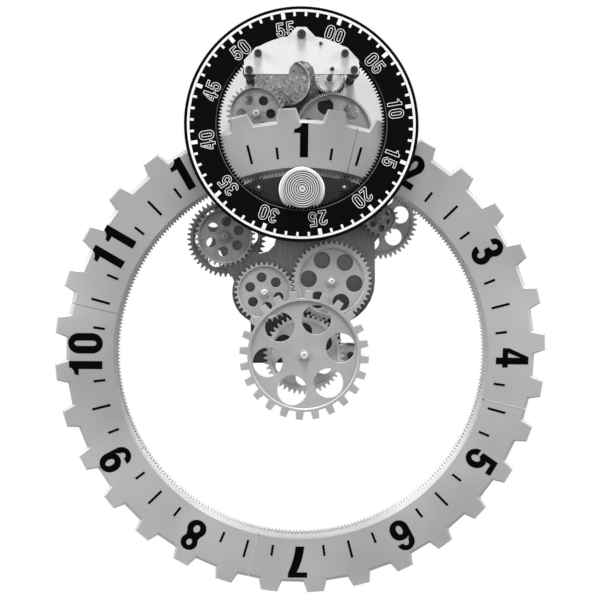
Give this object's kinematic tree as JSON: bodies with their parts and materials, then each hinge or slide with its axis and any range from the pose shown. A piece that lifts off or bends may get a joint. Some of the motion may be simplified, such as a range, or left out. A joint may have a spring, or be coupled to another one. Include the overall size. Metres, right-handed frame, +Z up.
{
  "type": "wall clock",
  "caption": "Industrial wall clock: a black minute ring above a large toothed hour ring that leans, with a train of pierced gears between them and a case behind.",
  "frame": {"origin": "on the wall, at the middle of the keyhole slot's upper end, which the clock hangs from", "axes": "+X to the right as seen from the front, +Y into the wall, +Z up; the front faces -Y"},
  "size_m": [0.562, 0.0908, 0.6688],
  "materials": {
    "satin_aluminium": "satin",
    "gear_aluminium": "satin",
    "bright_steel": "polished",
    "dark_steel": "satin",
    "black_enamel": "satin",
    "case_plastic": "matt",
    "grey_plate": "satin",
    "grey_housing": "satin",
    "pale_plate": "satin",
    "white_plate": "gloss",
    "black_nylon": "matt",
    "circuit_board_green": "matt"
  },
  "bodies": {
    "frame": {"rear_cover": "case_plastic", "back_plate": "pale_plate", "battery_door": "case_plastic", "battery": "bright_steel", "battery_tray": "case_plastic", "circuit_board": "circuit_board_green", "hanger_plate": "bright_steel", "movement_drum": "grey_housing", "movement_plate": "grey_plate", "pillar_1": "bright_steel", "pillar_2": "bright_steel", "pillar_3": "bright_steel", "front_plate": "white_plate", "left_post": "dark_steel", "right_post": "dark_steel", "left_post_screw": "dark_steel", "right_post_screw": "dark_steel", "top_guide_stud": "dark_steel", "left_ear_guide_stud": "dark_steel", "right_ear_guide_stud": "dark_steel", "left_carrier_stud": "bright_steel", "right_carrier_stud": "bright_steel"},
    "hour_ring": {"hour_face_1": "satin_aluminium", "hour_face_2": "satin_aluminium", "hour_face_3": "satin_aluminium", "hour_face_4": "satin_aluminium", "hour_rim_left": "satin_aluminium", "hour_rim_right": "satin_aluminium"},
    "left_carrier": {"left_carrier_pinion": "bright_steel"},
    "right_carrier": {"right_carrier_pinion": "bright_steel"},
    "minute_ring": {"minute_dial": "black_enamel", "minute_gear": "black_enamel"},
    "minute_drive": {"drive_shaft": "satin_aluminium", "drive_pinion": "satin_aluminium", "drive_disc": "satin_aluminium"},
    "left_roller_wheel": {"left_roller": "black_nylon"},
    "right_roller_wheel": {"right_roller": "black_nylon"},
    "centre_train": {"coarse_gear": "gear_aluminium", "centre_rear_gear": "gear_aluminium", "centre_arbor": "bright_steel"},
    "mid_right_train": {"mid_right_front_gear": "gear_aluminium", "mid_right_rear_gear": "gear_aluminium", "mid_right_arbor": "bright_steel"},
    "mid_left_train": {"mid_left_front_gear": "gear_aluminium", "mid_left_rear_gear": "gear_aluminium", "mid_left_arbor": "bright_steel"},
    "left_train": {"left_rear_wheel": "gear_aluminium", "left_front_gear": "gear_aluminium", "left_arbor": "bright_steel"},
    "right_train": {"right_rear_wheel": "gear_aluminium", "right_front_gear": "gear_aluminium", "right_arbor": "bright_steel"},
    "upper_left_train": {"upper_left_wheel": "gear_aluminium", "upper_left_arbor": "bright_steel"},
    "motor_train": {"motor_pinion": "gear_aluminium", "motor_arbor": "bright_steel"},
    "upper_right_train": {"upper_right_wheel": "gear_aluminium", "upper_right_arbor": "bright_steel"},
    "setting_train": {"setting_gear": "gear_aluminium", "setting_arbor": "bright_steel"}
  },
  "joints": [
    {"name": "hour_turn", "type": "hinge", "parent": "frame", "child": "hour_ring", "pos_m": [0, -0.0424, -0.338], "axis": [0, -0.9962, -0.0872], "continuous": true},
    {"name": "left_carrier_turn", "type": "hinge", "parent": "frame", "child": "left_carrier", "pos_m": [-0.048, -0.04923, -0.14516], "axis": [0, -0.9962, -0.0872], "continuous": true},
    {"name": "right_carrier_turn", "type": "hinge", "parent": "frame", "child": "right_carrier", "pos_m": [0.048, -0.04923, -0.14516], "axis": [0, -0.9962, -0.0872], "continuous": true},
    {"name": "minute_turn", "type": "hinge", "parent": "frame", "child": "minute_ring", "pos_m": [0, -0.074, -0.0785], "axis": [0, -1, 0], "continuous": true},
    {"name": "minute_drive_turn", "type": "hinge", "parent": "frame", "child": "minute_drive", "pos_m": [0, -0.072, -0.14989], "axis": [0, -1, 0], "continuous": true},
    {"name": "left_roller_turn", "type": "hinge", "parent": "frame", "child": "left_roller_wheel", "pos_m": [-0.0573, -0.0724, -0.0208], "axis": [0, -1, 0], "continuous": true},
    {"name": "right_roller_turn", "type": "hinge", "parent": "frame", "child": "right_roller_wheel", "pos_m": [0.0573, -0.0724, -0.0208], "axis": [0, -1, 0], "continuous": true},
    {"name": "centre_turn", "type": "hinge", "parent": "frame", "child": "centre_train", "pos_m": [0.0015, -0.068, -0.333], "axis": [0, -1, 0], "continuous": true},
    {"name": "mid_right_turn", "type": "hinge", "parent": "frame", "child": "mid_right_train", "pos_m": [0.03282, -0.05, -0.2514], "axis": [0, -1, 0], "continuous": true},
    {"name": "mid_left_turn", "type": "hinge", "parent": "frame", "child": "mid_left_train", "pos_m": [-0.04226, -0.05, -0.26316], "axis": [0, -1, 0], "continuous": true},
    {"name": "left_turn", "type": "hinge", "parent": "frame", "child": "left_train", "pos_m": [-0.08575, -0.05, -0.20083], "axis": [0, -1, 0], "continuous": true},
    {"name": "right_turn", "type": "hinge", "parent": "frame", "child": "right_train", "pos_m": [0.08804, -0.05, -0.18123], "axis": [0, -1, 0], "continuous": true},
    {"name": "upper_left_turn", "type": "hinge", "parent": "frame", "child": "upper_left_train", "pos_m": [-0.0508, -0.036, -0.0593], "axis": [0, -1, 0], "continuous": true},
    {"name": "motor_turn", "type": "hinge", "parent": "frame", "child": "motor_train", "pos_m": [-0.01407, -0.036, -0.03563], "axis": [0, -1, 0], "continuous": true},
    {"name": "upper_right_turn", "type": "hinge", "parent": "frame", "child": "upper_right_train", "pos_m": [0.0381, -0.036, -0.0802], "axis": [0, -1, 0], "continuous": true},
    {"name": "setting_turn", "type": "hinge", "parent": "frame", "child": "setting_train", "pos_m": [0.03344, -0.036, -0.0196], "axis": [0, -1, 0], "continuous": true}
  ],
  "couplings": [
    {"joint": "left_carrier_turn", "follows": "hour_turn", "ratio": 18},
    {"joint": "right_carrier_turn", "follows": "hour_turn", "ratio": 18},
    {"joint": "minute_turn", "follows": "hour_turn", "ratio": 12},
    {"joint": "minute_drive_turn", "follows": "hour_turn", "ratio": 56.25},
    {"joint": "left_roller_turn", "follows": "hour_turn", "ratio": 145.58},
    {"joint": "right_roller_turn", "follows": "hour_turn", "ratio": 145.58},
    {"joint": "centre_turn", "follows": "hour_turn", "ratio": 12},
    {"joint": "mid_right_turn", "follows": "hour_turn", "ratio": -12},
    {"joint": "mid_left_turn", "follows": "hour_turn", "ratio": 16.235},
    {"joint": "left_turn", "follows": "hour_turn", "ratio": -12},
    {"joint": "right_turn", "follows": "hour_turn", "ratio": 12.522},
    {"joint": "upper_left_turn", "follows": "hour_turn", "ratio": -12},
    {"joint": "motor_turn", "follows": "hour_turn", "ratio": 34},
    {"joint": "upper_right_turn", "follows": "hour_turn", "ratio": 12},
    {"joint": "setting_turn", "follows": "hour_turn", "ratio": -32.842}
  ]
}
